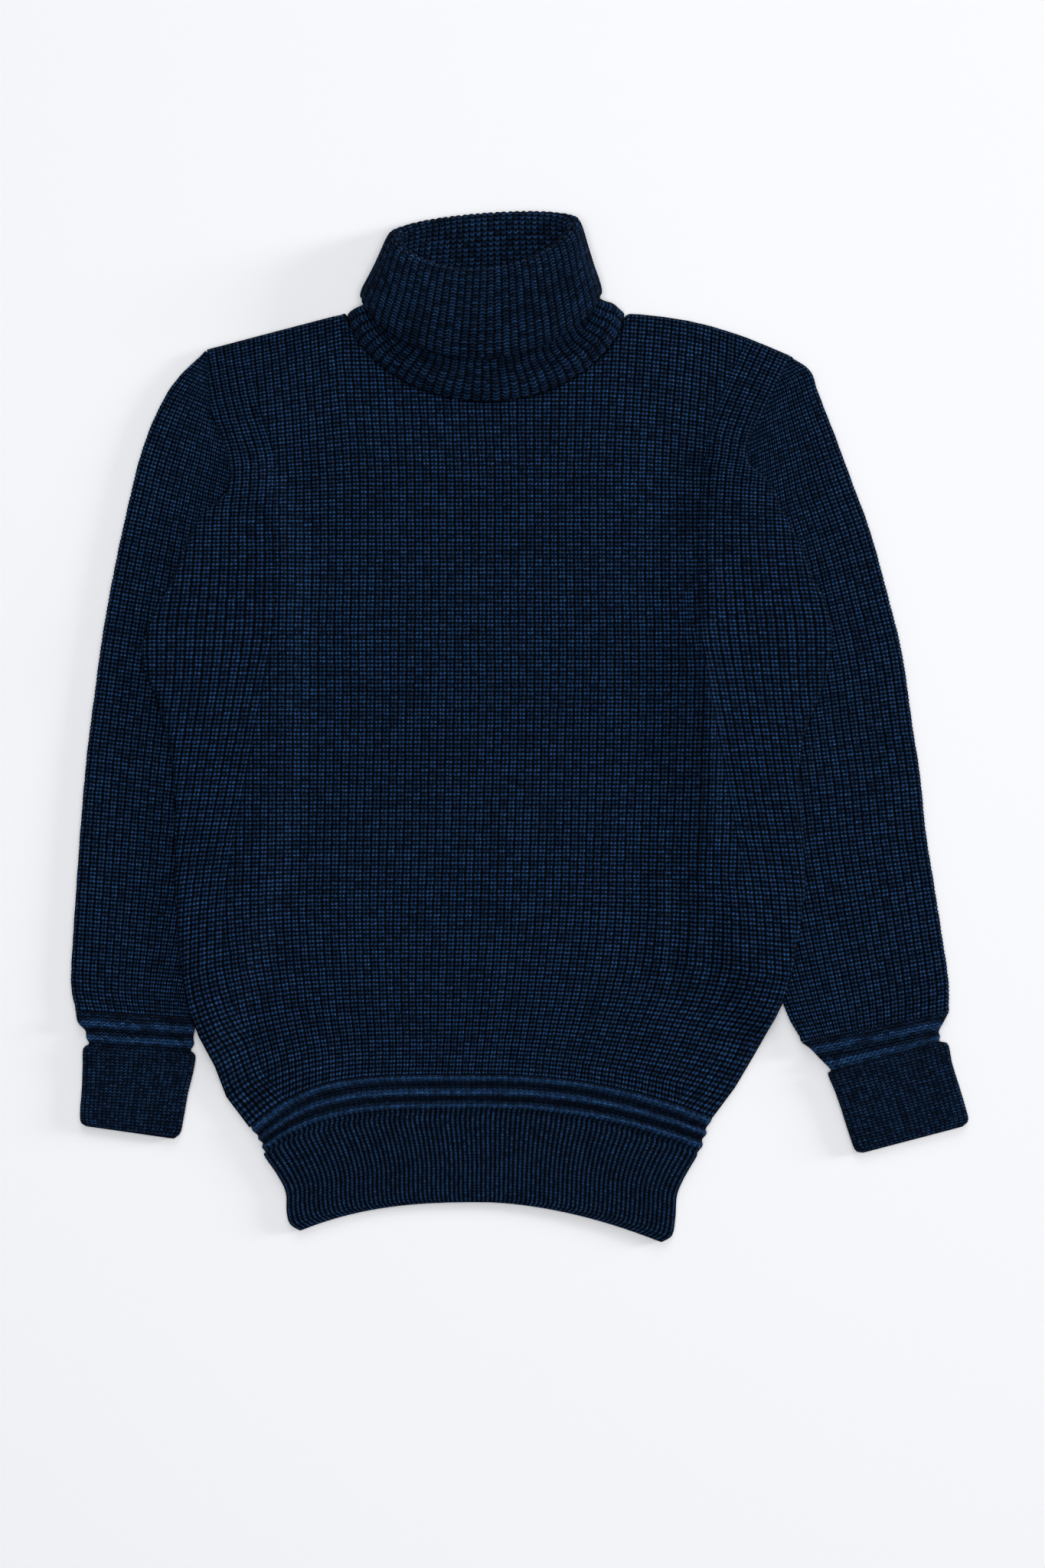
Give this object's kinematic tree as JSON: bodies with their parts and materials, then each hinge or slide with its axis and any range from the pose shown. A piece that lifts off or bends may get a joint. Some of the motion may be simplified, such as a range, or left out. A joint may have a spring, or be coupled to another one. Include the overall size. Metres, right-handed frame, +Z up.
{
  "type": "roll-neck sweater",
  "caption": "Heavy ribbed-knit wool sweater with a folded roll collar, long sleeves, ribbed cuffs and a welted hem band, laid flat on its back.",
  "frame": {"origin": "middle of the bounding box in plan, on the table the sweater lies on", "axes": "+Y from the hem to the collar, +X towards the picture's right, +Z up off the table"},
  "size_m": [0.69, 0.7938, 0.0305],
  "materials": {
    "body_wool": "matt pearl-rib knit",
    "sleeve_wool": "matt pearl-rib knit",
    "band_wool": "matt fine rib knit",
    "collar_wool": "matt ribbed knit"
  },
  "bodies": {
    "root": {"front": "body_wool", "back": "body_wool", "sleeve_left": "sleeve_wool", "sleeve_right": "sleeve_wool", "cuff_left": "band_wool", "cuff_right": "band_wool", "hem_band": "band_wool", "collar": "collar_wool"}
  },
  "joints": []
}
